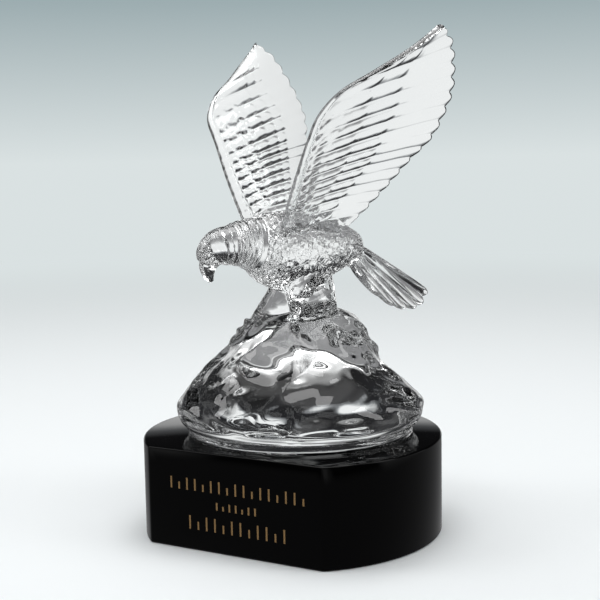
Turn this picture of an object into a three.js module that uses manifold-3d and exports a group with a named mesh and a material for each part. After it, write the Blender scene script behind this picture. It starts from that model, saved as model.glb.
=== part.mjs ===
// A crystal eagle award: a clear glass eagle with raised wings, cast in one with the rock it stands on,
// resting on a black glass plinth with one flat, engraved front.
// Millimetres, +Z up. The origin is in the middle of the plinth's underside, and the flat front faces -Y.

import * as THREE from "three";
import { mergeVertices } from "three/addons/utils/BufferGeometryUtils.js";
import Module from "manifold-3d";

const wasm = await Module();
wasm.setup();

// Plinth
const PLINTH_RADIUS = 70;
const PLINTH_HEIGHT = 45;
const FLAT_DISTANCE = 54; // from the middle of the plinth's circle to its flat front
const FLAT_WIDTH = 2 * Math.sqrt(PLINTH_RADIUS ** 2 - FLAT_DISTANCE ** 2);
const PLINTH_BEVEL = 0.8;
const PLINTH_SEGMENTS = 48;

// Engraved rows of strokes on the flat front
const STROKE_DEPTH = 0.4;
const STROKE_WIDTH = 0.9;
const ROW_CENTRE = 1.5;
// Each row's height and its strokes' length as shares of the plinth's height, and its width as a share of the flat's
const ROWS = [
  { height: 0.664, tall: 0.12, width: 0.808, strokes: 17 },
  { height: 0.476, tall: 0.078, width: 0.258, strokes: 7 },
  { height: 0.28, tall: 0.138, width: 0.595, strokes: 12 },
];
const SHORT_STROKE = 0.6; // a short stroke's share of a tall one
const SHORT_EVERY = 3;

// Rock with its foot ring
const SEAT_GAP = 0.3; // between the plinth's top and the foot ring
const RING_RADIUS = 54.5;
const RING_HEIGHT = 4;
const RING_DRAFT = 1;
const RING_SUNK = 1; // how far the ring reaches up into the rock
const ROCK_RADIUS = 58;
const ROCK_HEIGHT = 52; // above the foot ring
const ROCK_SIDES = 48;
const ROCK_ROWS = 16;
// Shares of the rock's radius and height, from the ring up
const ROCK_PROFILE = [
  [0.955, 0],
  [0.985, 0.04],
  [1, 0.1],
  [0.985, 0.22],
  [0.91, 0.37],
  [0.81, 0.5],
  [0.7, 0.6],
  [0.59, 0.71],
  [0.48, 0.82],
  [0.34, 0.91],
  [0.17, 0.97],
  [0, 1],
];
const ROCK_CROWN = 1; // radius of the small flat at its very top, inside the legs
// Relief of the rock: heights in millimetres, waves counted round it and in radians up it
const SWELL = { size: 1.7, round: 3, rise: 4.2, start: 0.6, bands: 5.2, first: 0.9 };
const CROSSING = { size: 1, round: 5, rise: -6.5, start: 2.1 };
const FOLD = { size: 1.3, count: 9, rise: 2.4, wander: 1.3, turn: 7, from: [0.2, 0.5] };
const RELIEF_SPAN = [[0.03, 0.2], [0.78, 0.98]]; // shares of the height where the relief starts and ends
const ROCK_TOWARD = THREE.MathUtils.degToRad(30); // the side of the rock's hollow, with a knob above it
const ROCK_HOLLOW = { height: 0.48, depth: 10, spread: 0.15 };
const ROCK_KNOB = { span: [[0.72, 0.9], [0.95, 1]], out: 6, up: 0.07 };

// Eagle: its lengths below are hundredths of its height, which is from its perch to its wing tips.
// Forward is toward its beak, and left is its own left.
const EAGLE_HEIGHT = 140;
const FOOT_HEIGHT = 42.7; // of its feet above the foot ring
const PERCH = PLINTH_HEIGHT + SEAT_GAP + RING_HEIGHT + FOOT_HEIGHT;
const HEADING = THREE.MathUtils.degToRad(24.3); // from the plinth's front toward -X

// Torso, neck and head: forward, up, half height and half width of each section
const TORSO = [
  [-25, 27, 4, 4.4],
  [-18.6, 27.6, 6.8, 7.1],
  [-10.7, 27.6, 9.6, 9.5],
  [0, 27, 12.9, 11.6],
  [8.6, 28, 12.2, 11.2],
  [15, 29.6, 10.3, 9.6],
  [21.4, 30.6, 8, 7.7],
  [26.4, 30.5, 6.7, 6.4],
  [31.4, 29.9, 6, 5.8],
  [34.6, 27.8, 5, 4.9],
  [36, 25.2, 3.4, 3.2],
];
const TORSO_SIDES = 20;
const TORSO_STEPS = 36;
const SCALE_ROWS = 18;
const SCALE_RISE = 0.28;
const SCALES_END = 0.55; // share of the torso's length where its scales give way to the neck's folds
const NECK_END = 0.73; // share of the length where the folds give way to the smooth head
const TORSO_FADE = 0.04; // share of the length over which one gives way to the other
const NECK_FOLDS = 4;
const NECK_RISE = 0.3;

const BEAK = [
  [33.2, 27.4, 3.4, 3],
  [35.6, 24.6, 3.1, 2.6],
  [35.6, 21.8, 2.2, 1.6],
  [34.6, 19.2, 0.9, 0.6],
];
const BEAK_SIDES = 8;
const BEAK_STEPS = 6;
const EYE = { forward: 36, up: 26.9, left: 3.4, radius: 0.9 };
const BROW = { forward: 35.4, up: 28.3, left: 3.3, length: 2.4, radius: 1, fall: 0.56 };
const EGG_SIDES = 6;
const EGG_RINGS = 5;

// Wings: forward, left and up of the points on each edge, from the root inside the body to the tip
const LEADING_EDGE = [
  [12.9, 4, 27],
  [13.9, 9.6, 34.3],
  [15.2, 17.7, 47.8],
  [15.4, 25.6, 61.5],
  [14.9, 31.2, 70.2],
  [9.6, 35.2, 77.4],
  [0, 40.4, 83.6],
  [-9.8, 46.2, 90.2],
  [-18.4, 50, 96.6],
];
const TRAILING_EDGE = [
  [-9.6, 4.6, 29],
  [-12.8, 10.8, 34.6],
  [-20.2, 21.2, 47.4],
  [-25, 28, 56.4],
  [-29.6, 33.4, 63.4],
  [-31.8, 37.2, 71],
  [-31.6, 41.4, 78.2],
  [-29, 45, 86],
  [-24.8, 48.2, 93.4],
  [-19, 50.2, 97.6],
];
const RIGHT_WING_RAISE = 1.05; // the right wing stands a little taller from its root
const WING_ROOT = 34;
const FEATHERS = 18;
const WING_STEPS = 2 * FEATHERS;
const WING_SIDES = 18;
const FAN = 0.57; // how far the feathers' roots lag behind their tips along the wing
const FAN_POWER = 8;
const WING_BAR = 0.8; // half thickness that the leading edge's bar adds
const BAR_WIDTH = 3.4;
const BLADE = 1.25;
const BLADE_TAPER = 0.5;
const TIP_TAPER = 0.5;
const WING_CAMBER = 2.6;
const FLUTE = 0.34;
const SCALLOP = 1.3;
const COVERT_STEP = 0.3;
const COVERT_ENDS = [0.3, 0.56];
const COVERT_FALL = 0.06; // share of the chord over which a covert row ends
// Spans over which relief rises and fades, as shares of the wing's length or, for ACROSS, of its chord
const FLUTES_ALONG = [[0.04, 0.12], [0.97, 1]];
const FLUTES_ACROSS = [0.15, 0.5];
const SCALLOPS_ALONG = [[0.1, 0.2], [0.96, 1]];
const SCALLOPS_ACROSS = [0.75, 1];
const CAMBER_ALONG = [[0, 0.3], [0.6, 1]];
const ARM_SCALES_ACROSS = [[0.02, 0.08], [0.22, 0.24]];
const THIN_ALONG = [0.45, 1];
const THIN_EDGE = [0, 0.1];

// Tail: forward, left and up of its feathers' roots and tips, from the middle feather out.
// It is turned a little, so its left side hangs lower.
const TAIL_ROOTS = [
  [-19, 0, 31],
  [-18.8, 2.4, 29.4],
  [-18.2, 4, 26],
  [-17.6, 4.8, 23],
];
const LEFT_TAIL_TIPS = [
  [-58.6, 0, 9.4],
  [-49, 5.4, 4.6],
  [-34.6, 9.6, 6],
  [-20.8, 12, 13.6],
];
const RIGHT_TAIL_TIPS = [
  [-58.6, 0, 9.4],
  [-51.5, -5.4, 9.8],
  [-40, -9.6, 15.4],
  [-27, -11.6, 21.4],
];
const TAIL_FEATHERS = 12;
const TAIL_SIDES = 14;
const TAIL_STEPS = 2 * TAIL_FEATHERS;
const TAIL_THICK = { root: 2.8, end: 1.6 };
const TAIL_RIB = 0.4;
const TAIL_RIB_SPAN = [0.15, 0.4];
const TAIL_SCALLOP = 0.04;
const TAIL_SCALLOP_SPAN = [0.8, 1];

// Legs: forward, left, up, half length and half width of each section, from the belly down
const LEFT_LEG = [
  [-0.6, 3.6, 24, 9, 6],
  [-0.6, 5, 17, 9.2, 6.6],
  [-0.6, 6.6, 11, 8.8, 7],
  [-0.8, 7.6, 6, 8.2, 6.8],
  [-1, 8.2, 2.4, 6.8, 5.6],
  [-1, 8.4, 0.4, 3.4, 3],
];
const RIGHT_LEG = [
  [-0.6, -3.6, 24, 9, 6],
  [-0.8, -5.4, 15, 7.8, 6.8],
  [2, -7.6, 8, 8.6, 7],
  [5, -8.2, 2, 10, 6.4],
  [6.4, -8.4, -5, 10, 6],
];
const LEG_SIDES = 14;
const LEG_STEPS = 6;

// Toes: knuckle, two middle joints and claw end of each, as forward, left and up
const TOES = [
  [[5, 7.4, 10.5], [8.6, 9.2, 7.6], [10.2, 11, 4.2], [9.8, 12.2, -2]],
  [[7, 5.6, 5], [8.8, 5.8, 2.4], [11.4, 4.8, 1], [14, 4, -3]],
  [[0, 11, 4], [1.8, 14, 2.4], [2.8, 16.4, 0], [3.2, 18.4, -4.6]],
  [[10, -6.6, 5.6], [13, -7.8, 4], [16.4, -9.2, 1.2], [19.6, -10.4, -3.6]],
  [[9, -5, 5], [12.4, -4, 3.4], [15, -3, 1.4], [17.6, -2, -3]],
  [[5, -10, 4], [7.6, -13, 2.4], [9.6, -15.4, -0.4], [11, -17.6, -5.4]],
];
const TOE_RADIUS = 1.35;
const CLAW_RADIUS = 0.5;
const TOE_KNUCKLES = 4;
const TOE_RISE = 0.4;
const TOE_SIDES = 6;
const TOE_STEPS = 2 * TOE_KNUCKLES + 2;
const CLAW_SPAN = [0.6, 1]; // shares of the toe's length over which it narrows to the claw
const KNUCKLES_END = [0.75, 0.85];

const FULL_TURN = 2 * Math.PI;
const NEAR = 0.05; // the share to each side of a point at which a surface's direction is taken
const hundredth = EAGLE_HEIGHT / 100;

function lerp(from, to, share) {
  return from + (to - from) * share;
}

function smooth(value, [from, to]) {
  return THREE.MathUtils.smoothstep(value, from, to);
}

// Rises over one span and fades over the next
function between(value, [rise, fade]) {
  return smooth(value, rise) * (1 - smooth(value, fade));
}

// A point of the eagle, given in hundredths of its height
function eaglePoint(forward, left, up) {
  return new THREE.Vector3(
    -Math.sin(HEADING) * forward + Math.cos(HEADING) * left,
    -Math.cos(HEADING) * forward - Math.sin(HEADING) * left,
    up,
  )
    .multiplyScalar(hundredth)
    .add(new THREE.Vector3(0, 0, PERCH));
}

// A smooth run through rows of numbers: gives a row for each share from 0 to 1
function run(rows) {
  return (share) => {
    const spot = THREE.MathUtils.clamp(share, 0, 1) * (rows.length - 1);
    const index = Math.min(Math.floor(spot), rows.length - 2);
    const row = (i) => rows[THREE.MathUtils.clamp(i, 0, rows.length - 1)];
    return rows[0].map((_, column) => {
      const [a, b, c, d] = [-1, 0, 1, 2].map((step) => row(index + step)[column]);
      const t = spot - index;
      const bend = (2 * a - 5 * b + 4 * c - d) * t * t + (3 * b - 3 * c + d - a) * t * t * t;
      return b + ((c - a) * t + bend) / 2;
    });
  };
}

// A smooth run with equal steps along its first three columns
function evenRun(rows) {
  const curve = new THREE.CatmullRomCurve3(
    rows.map((row) => new THREE.Vector3(...row)),
    false,
    "centripetal",
  );
  return (share) => curve.getPointAt(THREE.MathUtils.clamp(share, 0, 1)).toArray();
}

// A closed skin: a capped cylinder whose every point is placed by its share along, its angle round,
// and its reach, which is 1 on the wall and 0 in the middle of an end
function skin(sides, steps, place) {
  const geometry = new THREE.CylinderGeometry(1, 1, 1, sides, steps);
  const points = geometry.attributes.position;
  for (let i = 0; i < points.count; i += 1) {
    const x = points.getX(i);
    const z = points.getZ(i);
    const reach = Math.round(Math.hypot(x, z));
    const spot = place(0.5 - points.getY(i), reach ? Math.atan2(z, x) : 0, reach);
    points.setXYZ(i, spot.x, spot.y, spot.z);
  }
  return geometry;
}

// A geometry as a solid for joining and cutting, with its faces turned outward
function solid(geometry) {
  const bare = geometry.clone();
  bare.deleteAttribute("normal");
  bare.deleteAttribute("uv");
  const merged = mergeVertices(bare, 1e-3);
  const triVerts = new Uint32Array(merged.index.array);
  const vertProperties = merged.attributes.position.array;
  const made = new wasm.Manifold(new wasm.Mesh({ numProp: 3, vertProperties, triVerts }));
  if (made.volume() > 0) return made;
  for (let i = 0; i < triVerts.length; i += 3) {
    [triVerts[i + 1], triVerts[i + 2]] = [triVerts[i + 2], triVerts[i + 1]];
  }
  return new wasm.Manifold(new wasm.Mesh({ numProp: 3, vertProperties, triVerts }));
}

function geometryOf(made) {
  const mesh = made.getMesh();
  const geometry = new THREE.BufferGeometry();
  geometry.setAttribute("position", new THREE.BufferAttribute(new Float32Array(mesh.vertProperties), 3));
  geometry.setIndex(new THREE.BufferAttribute(new Uint32Array(mesh.triVerts), 1));
  geometry.computeVertexNormals();
  return geometry;
}

// A limb in the eagle's own directions: sections of a half height and a half width set square to a spine
// that runs forward and up, with relief(share, angle) added to both
function spineLimb(rows, sides, steps, relief = () => 0) {
  const at = run(rows);
  const reachAlong = 0.5 / steps;
  return skin(sides, steps, (share, angle, reach) => {
    const [forward, up, halfHeight, halfWidth] = at(share);
    const [f0, u0] = at(share - reachAlong);
    const [f1, u1] = at(share + reachAlong);
    const length = Math.hypot(f1 - f0, u1 - u0);
    const rise = reach * (halfHeight + relief(share, angle)) * Math.cos(angle);
    const left = reach * (halfWidth + relief(share, angle)) * Math.sin(angle);
    const square = [-(u1 - u0) / length, (f1 - f0) / length];
    return eaglePoint(forward + rise * square[0], left, up + rise * square[1]);
  });
}

function torso() {
  return spineLimb(TORSO, TORSO_SIDES, TORSO_STEPS, (share, angle) => {
    const onBody = between(share, [[0, TORSO_FADE], [SCALES_END - TORSO_FADE, SCALES_END]]);
    const onNeck = between(share, [[SCALES_END, SCALES_END + TORSO_FADE], [NECK_END - TORSO_FADE, NECK_END]]);
    const scales = Math.cos(Math.PI * share * 2 * SCALE_ROWS) * Math.cos((angle * TORSO_SIDES) / 2);
    const folds = Math.cos((FULL_TURN * NECK_FOLDS * (share - SCALES_END)) / (NECK_END - SCALES_END));
    return onBody * SCALE_RISE * scales + onNeck * NECK_RISE * folds;
  });
}

function beak() {
  return spineLimb(BEAK, BEAK_SIDES, BEAK_STEPS);
}

// A small egg, round across and longer forward, where it falls by the given amount
function egg({ forward, up, left, radius, length = radius, fall = 0 }) {
  const geometry = new THREE.SphereGeometry(1, EGG_SIDES, EGG_RINGS);
  const points = geometry.attributes.position;
  for (let i = 0; i < points.count; i += 1) {
    const spot = eaglePoint(
      forward + length * points.getX(i),
      left + radius * points.getY(i),
      up + radius * points.getZ(i) - fall * points.getX(i),
    );
    points.setXYZ(i, spot.x, spot.y, spot.z);
  }
  return geometry;
}

function wing(side) {
  const leading = evenRun(LEADING_EDGE);
  const trailing = evenRun(TRAILING_EDGE);
  const edges = (u) => {
    const root = FAN * u + (1 - FAN) * u ** FAN_POWER;
    return [new THREE.Vector3(...leading(root)), new THREE.Vector3(...trailing(u))];
  };
  return skin(WING_SIDES, WING_STEPS, (u, angle, reach) => {
    const [front, back] = edges(u);
    const [, backBefore] = edges(u - 0.5 / WING_STEPS);
    const [, backAfter] = edges(u + 0.5 / WING_STEPS);
    const chord = back.clone().sub(front);
    const span = backAfter.sub(backBefore);
    const square = chord.clone().cross(span).normalize();
    const across = reach ? (1 - Math.cos(angle)) / 2 : 0.5;
    const feather = Math.abs(Math.sin(Math.PI * FEATHERS * u));
    const onFeathers = smooth(across, FLUTES_ACROSS) * between(u, FLUTES_ALONG);
    const width = chord.length();
    const bar = WING_BAR * Math.exp(-(((across * width) / BAR_WIDTH) ** 2));
    const blade = BLADE * (1 - BLADE_TAPER * across);
    const rows = COVERT_ENDS.map((end) => 1 - smooth(across, [end, end + COVERT_FALL]));
    const coverts = COVERT_STEP * rows.reduce((sum, row) => sum + row, 0);
    const secondRow = across > ARM_SCALES_ACROSS[1][1] / 2 ? Math.PI : 0;
    const scales = Math.cos(FULL_TURN * FEATHERS * u + secondRow) * between(across, ARM_SCALES_ACROSS);
    const relief = FLUTE * ((feather - 0.5) * onFeathers + scales / 2);
    const taper = 1 - TIP_TAPER * smooth(u, THIN_ALONG);
    const half = reach * (bar + blade * taper + (coverts * taper + relief) * smooth(1 - across, THIN_EDGE));
    const rounded = half * Math.sign(Math.sin(angle)) * Math.sqrt(Math.abs(Math.sin(angle)));
    const camber = WING_CAMBER * 4 * across * (1 - across) * between(u, CAMBER_ALONG);
    const tip = SCALLOP * (feather - 0.5) * smooth(across, SCALLOPS_ACROSS) * between(u, SCALLOPS_ALONG);
    const spot = front.lerp(back, across).addScaledVector(chord.normalize(), tip);
    spot.addScaledVector(square, rounded - camber);
    const raise = side < 0 ? RIGHT_WING_RAISE : 1;
    return eaglePoint(spot.x, side * spot.y, WING_ROOT + raise * (spot.z - WING_ROOT));
  });
}

// The tail's fan: w runs from its right edge, -1, to its left edge, 1
function tail() {
  const roots = run(TAIL_ROOTS);
  const leftTips = run(LEFT_TAIL_TIPS);
  const rightTips = run(RIGHT_TAIL_TIPS);
  const place = (w, share) => {
    const [forward, left, up] = roots(Math.abs(w));
    const tip = (w < 0 ? rightTips : leftTips)(Math.abs(w));
    return new THREE.Vector3(forward, Math.sign(w) * left, up).lerp(new THREE.Vector3(...tip), share);
  };
  return skin(TAIL_SIDES, TAIL_STEPS, (turn, angle, reach) => {
    const w = lerp(1, -1, turn);
    const share = reach ? (1 - Math.cos(angle)) / 2 : 0.5;
    const ahead = place(w, share + NEAR).sub(place(w, share - NEAR));
    const beside = place(w + NEAR, share).sub(place(w - NEAR, share));
    const square = ahead.clone().cross(beside).normalize();
    const rib = Math.abs(Math.sin(Math.PI * TAIL_FEATHERS * turn));
    const ribbed = TAIL_RIB * rib * smooth(share, TAIL_RIB_SPAN);
    const thick = lerp(TAIL_THICK.root, TAIL_THICK.end, share) / 2 + ribbed;
    const rounded = thick * Math.sqrt(Math.abs(Math.sin(angle))) * Math.sign(Math.sin(angle));
    const spot = place(w, share + TAIL_SCALLOP * (rib - 0.5) * smooth(share, TAIL_SCALLOP_SPAN));
    spot.addScaledVector(square, reach * rounded);
    return eaglePoint(spot.x, spot.y, spot.z);
  });
}

function leg(rows) {
  const at = run(rows);
  return skin(LEG_SIDES, LEG_STEPS, (share, angle, reach) => {
    const [forward, left, up, halfLength, halfWidth] = at(share);
    const ahead = reach * halfLength * Math.cos(angle);
    const beside = reach * halfWidth * Math.sin(angle);
    return eaglePoint(forward + ahead, left + beside, up);
  });
}

function toe(points) {
  const at = run(points);
  return skin(TOE_SIDES, TOE_STEPS, (share, angle, reach) => {
    const centre = new THREE.Vector3(...at(share));
    const [before, after] = [share - NEAR, share + NEAR].map((spot) => new THREE.Vector3(...at(spot)));
    const along = after.sub(before).normalize();
    const beside = along.clone().cross(new THREE.Vector3(0, 0, 1)).normalize();
    const above = beside.clone().cross(along);
    const knuckle = TOE_RISE * Math.cos(FULL_TURN * TOE_KNUCKLES * share) * (1 - smooth(share, KNUCKLES_END));
    const radius = reach * (lerp(TOE_RADIUS, CLAW_RADIUS, smooth(share, CLAW_SPAN)) + knuckle);
    centre.addScaledVector(beside, radius * Math.cos(angle));
    centre.addScaledVector(above, radius * Math.sin(angle));
    return eaglePoint(centre.x, centre.y, centre.z);
  });
}

// How far the rock's surface stands out from its smooth profile
function rockRelief(height, angle) {
  const band = Math.sin(SWELL.bands * height + SWELL.first + Math.sin(2 * angle));
  const swell = SWELL.size * band * Math.sin(SWELL.round * angle + SWELL.rise * height + SWELL.start);
  const crossing = CROSSING.size * Math.sin(CROSSING.round * angle + CROSSING.rise * height + CROSSING.start);
  const wander = FOLD.wander * Math.sin(angle + FOLD.turn * height);
  const crease = Math.abs(Math.sin((FOLD.count * angle) / 2 + FOLD.rise * height + wander));
  const fold = FOLD.size * (1 - 2 * crease) * smooth(height, FOLD.from);
  const toward = Math.max(0, Math.cos(angle - ROCK_TOWARD));
  const hollow = ROCK_HOLLOW.depth * Math.exp(-(((height - ROCK_HOLLOW.height) / ROCK_HOLLOW.spread) ** 2));
  const knob = ROCK_KNOB.out * between(height, ROCK_KNOB.span);
  return between(height, RELIEF_SPAN) * (swell + crossing + fold) + toward * (knob - hollow);
}

function rock() {
  const at = run(ROCK_PROFILE);
  const floor = PLINTH_HEIGHT + SEAT_GAP;
  return skin(ROCK_SIDES, ROCK_ROWS, (share, angle, reach) => {
    const up = 1 - share;
    const [radius, height] = at(up);
    const out = reach * Math.max(ROCK_RADIUS * radius + rockRelief(height, angle), ROCK_CROWN);
    const toward = Math.max(0, Math.cos(angle - ROCK_TOWARD));
    const raise = ROCK_KNOB.up * toward * smooth(height, [ROCK_KNOB.span[0][0], 1]);
    return new THREE.Vector3(
      out * Math.cos(angle),
      out * Math.sin(angle),
      floor + RING_HEIGHT + ROCK_HEIGHT * (height + reach * raise),
    );
  });
}

function footRing() {
  const height = RING_HEIGHT + RING_SUNK;
  const geometry = new THREE.CylinderGeometry(RING_RADIUS, RING_RADIUS - RING_DRAFT, height, ROCK_SIDES);
  geometry.rotateX(Math.PI / 2);
  geometry.translate(0, 0, PLINTH_HEIGHT + SEAT_GAP + height / 2);
  return geometry;
}

function crystalEagle() {
  const pieces = [
    footRing(),
    torso(),
    beak(),
    tail(),
    wing(1),
    wing(-1),
    leg(LEFT_LEG),
    leg(RIGHT_LEG),
    ...TOES.map(toe),
    ...[1, -1].flatMap((side) => [
      egg({ ...EYE, left: side * EYE.left }),
      egg({ ...BROW, left: side * BROW.left }),
    ]),
  ];
  return pieces.reduce((whole, piece) => whole.add(solid(piece)), solid(rock()));
}

function plinthOutline() {
  const centre = (FLAT_DISTANCE - PLINTH_RADIUS) / 2;
  const corner = Math.atan2(-FLAT_DISTANCE, FLAT_WIDTH / 2);
  const outline = new THREE.Shape();
  outline.absarc(0, centre, PLINTH_RADIUS, corner, Math.PI - corner, false);
  outline.closePath();
  return outline;
}

function strokes() {
  const front = -(FLAT_DISTANCE + PLINTH_RADIUS) / 2;
  return ROWS.flatMap(({ height, width, tall, strokes: count }) =>
    Array.from({ length: count }, (_, i) => {
      const full = tall * PLINTH_HEIGHT;
      const length = i % SHORT_EVERY === 1 ? full * SHORT_STROKE : full;
      const geometry = new THREE.BoxGeometry(STROKE_WIDTH, 2 * STROKE_DEPTH, length);
      geometry.translate(
        ROW_CENTRE + width * FLAT_WIDTH * ((i + 0.5) / count - 0.5),
        front,
        height * PLINTH_HEIGHT - (full - length) / 2,
      );
      return geometry;
    }),
  );
}

function plinth() {
  const geometry = new THREE.ExtrudeGeometry(plinthOutline(), {
    depth: PLINTH_HEIGHT - 2 * PLINTH_BEVEL,
    curveSegments: PLINTH_SEGMENTS,
    bevelThickness: PLINTH_BEVEL,
    bevelSize: PLINTH_BEVEL,
    bevelOffset: -PLINTH_BEVEL,
    bevelSegments: 1,
  });
  geometry.translate(0, 0, PLINTH_BEVEL);
  return strokes().reduce((block, stroke) => block.subtract(solid(stroke)), solid(geometry));
}

function part(name, made, material) {
  const mesh = new THREE.Mesh(geometryOf(made), new THREE.MeshStandardMaterial(material));
  mesh.name = name;
  return mesh;
}

const award = new THREE.Group();
award.add(
  part("black_glass_plinth", plinth(), { color: 0x060607, roughness: 0.05, metalness: 0 }),
  part("crystal_eagle", crystalEagle(), {
    color: 0xf4f8f8,
    roughness: 0.02,
    metalness: 0,
    transparent: true,
    opacity: 0.35,
  }),
);

export default award;
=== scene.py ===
"""A crystal eagle award: a clear glass eagle and its rock on a black glass plinth, and their stage."""

import bisect
import itertools
import math

import bmesh
import bpy
from mathutils import Matrix, Vector


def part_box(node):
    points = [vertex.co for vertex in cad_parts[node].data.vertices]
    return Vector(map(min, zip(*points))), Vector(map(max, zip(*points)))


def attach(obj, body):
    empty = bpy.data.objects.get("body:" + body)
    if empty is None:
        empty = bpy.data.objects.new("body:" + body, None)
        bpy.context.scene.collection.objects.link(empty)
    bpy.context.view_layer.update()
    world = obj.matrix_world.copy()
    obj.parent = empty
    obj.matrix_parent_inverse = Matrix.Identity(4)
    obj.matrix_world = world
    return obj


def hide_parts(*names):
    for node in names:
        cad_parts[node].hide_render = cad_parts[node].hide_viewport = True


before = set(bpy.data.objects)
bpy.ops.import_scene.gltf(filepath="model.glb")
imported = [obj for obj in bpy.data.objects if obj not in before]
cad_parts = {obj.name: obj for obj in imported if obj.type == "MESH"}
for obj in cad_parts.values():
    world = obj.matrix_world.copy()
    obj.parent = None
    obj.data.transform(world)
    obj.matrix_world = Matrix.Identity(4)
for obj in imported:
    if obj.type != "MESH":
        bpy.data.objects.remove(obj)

bl_info = {
    "name": "Crystal Eagle Award",
    "version": (1, 0, 0),
    "blender": (4, 5, 0),
    "location": "View3D > Sidebar > Award",
    "description": "Makes a clear glass eagle award on its black glass plinth",
    "category": "Add Mesh",
}

MM = 0.001
FULL_TURN = 2 * math.pi
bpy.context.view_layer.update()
PLINTH_LOW, PLINTH_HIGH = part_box("black_glass_plinth")
CRYSTAL_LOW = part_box("crystal_eagle")[0]

# Engraved rows on the flat front, in millimetres
ROW_CENTRE = 1.5
STROKE_DEPTH = 0.4
STROKE_WIDTH = 0.9
SHORT_STROKE = 0.6
SHORT_EVERY = 3
ROWS = [
    {"height": 29.9, "width": 72, "tall": 5.4, "strokes": 17},
    {"height": 21.4, "width": 23, "tall": 3.5, "strokes": 7},
    {"height": 12.6, "width": 53, "tall": 6.2, "strokes": 12},
]

# Rock and foot ring, in millimetres and in shares of the rock's radius and height
RING_RADIUS = 54.5
RING_HEIGHT = 4
ROCK_RADIUS = 58
ROCK_HEIGHT = 52
ROCK_PROFILE = [
    [0.955, 0],
    [0.985, 0.04],
    [1, 0.1],
    [0.985, 0.22],
    [0.91, 0.37],
    [0.81, 0.5],
    [0.7, 0.6],
    [0.59, 0.71],
    [0.48, 0.82],
    [0.34, 0.91],
    [0.17, 0.97],
    [0, 1],
]
# Heights and depths of the rock's relief
ROCK_SWELL = 1.7
ROCK_FOLD = 1.3
ROCK_HOLLOW = 10
ROCK_KNOB = 6
ROCK_LOBES = 1.1
ROCK_DENTS = 0.35
SEAM_HEIGHT = 0.35
MARK_DEPTH = 0.8
RING_GROOVE = 0.7
RING_SHARE = 0.1
ROCK_TOWARD = math.radians(30)
MOULD_SEAM = math.radians(-64)

# Eagle, in hundredths of its height: forward toward its beak, its own left, and up from its perch
HEADING = math.radians(24.3)
TORSO = [
    [-25, 27, 4, 4.4],
    [-18.6, 27.6, 6.8, 7.1],
    [-10.7, 27.6, 9.6, 9.5],
    [0, 27, 12.9, 11.6],
    [8.6, 28, 12.2, 11.2],
    [15, 29.6, 10.3, 9.6],
    [21.4, 30.6, 8, 7.7],
    [26.4, 30.5, 6.7, 6.4],
    [31.4, 29.9, 6, 5.8],
    [34.6, 27.8, 5, 4.9],
    [36, 25.2, 3.4, 3.2],
]
SCALE_ROWS = 17
SCALES_ROUND = 20
SCALES_END = 0.55
NECK_END = 0.73
NECK_FOLDS = 4
SCALE_DEPTH = 0.95
SCALES_PER_METRE = 215.0
PEBBLE_DEPTH = 0.0015
FOLD_DEPTH = 0.22
BEAK = [
    [33.2, 27.4, 3.4, 3],
    [35.6, 24.6, 3.1, 2.6],
    [35.6, 21.8, 2.2, 1.6],
    [34.6, 19.2, 0.9, 0.6],
]
LEADING_EDGE = [
    [12.9, 4, 27],
    [13.9, 9.6, 34.3],
    [15.2, 17.7, 47.8],
    [15.4, 25.6, 61.5],
    [14.9, 31.2, 70.2],
    [9.6, 35.2, 77.4],
    [0, 40.4, 83.6],
    [-9.8, 46.2, 90.2],
    [-18.4, 50, 96.6],
]
TRAILING_EDGE = [
    [-9.6, 4.6, 29],
    [-12.8, 10.8, 34.6],
    [-20.2, 21.2, 47.4],
    [-25, 28, 56.4],
    [-29.6, 33.4, 63.4],
    [-31.8, 37.2, 71],
    [-31.6, 41.4, 78.2],
    [-29, 45, 86],
    [-24.8, 48.2, 93.4],
    [-19, 50.2, 97.6],
]
RIGHT_WING_RAISE = 1.05
WING_ROOT = 34
FEATHERS = 18
FAN = 0.57
FAN_POWER = 8
# Carving on the wings, its depths and widths in hundredths of the eagle's height
BAR_WIDTH = 3.6
BAR_HALF = 2.0
BLADE_HALF = 1.2
ARM_BEADS = 28
BEAD_ROWS = (1.75, 2.55)
BEAD_DEPTH = 0.8
BEAD_REACH = 1.3
ARM_SCALES = 32
ARM_SCALE_LENGTH = 2.9
ARM_SCALE_DEPTH = 0.65
OUTER_COVERTS = (0.33, 0.56)
INNER_COVERTS = (0.4, 0.52, 0.64)
COVERT_DEPTH = 0.42
COVERT_ROUNDING = 0.045
FEATHER_DEPTH = 0.17
GROOVE_WIDTH = 0.12
HIDDEN_FACE = 0.2
WING_CAMBER = 2.6
TIP_REACH = 1.4
# Shares of the chord at which a wing's rings have their points, closer together over the arm
CHORD_SPACING = [[0], [0.09], [0.19], [0.3], [0.43], [0.57], [0.72], [0.87], [1]]
TAIL_ROOTS = [[-19, 0, 31], [-18.8, 2.4, 29.4], [-18.2, 4, 26], [-17.6, 4.8, 23]]
LEFT_TAIL_TIPS = [[-58.6, 0, 9.4], [-49, 5.4, 4.6], [-34.6, 9.6, 6], [-20.8, 12, 13.6]]
RIGHT_TAIL_TIPS = [[-58.6, 0, 9.4], [-51.5, -5.4, 9.8], [-40, -9.6, 15.4], [-27, -11.6, 21.4]]
TAIL_FEATHERS = 12
LEFT_LEG = [
    [-0.6, 3.6, 24, 9, 6],
    [-0.6, 5, 17, 9.2, 6.6],
    [-0.6, 6.6, 11, 8.8, 7],
    [-0.8, 7.6, 6, 8.2, 6.8],
    [-1, 8.2, 2.4, 6.8, 5.6],
    [-1, 8.4, 0.4, 3.4, 3],
]
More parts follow.
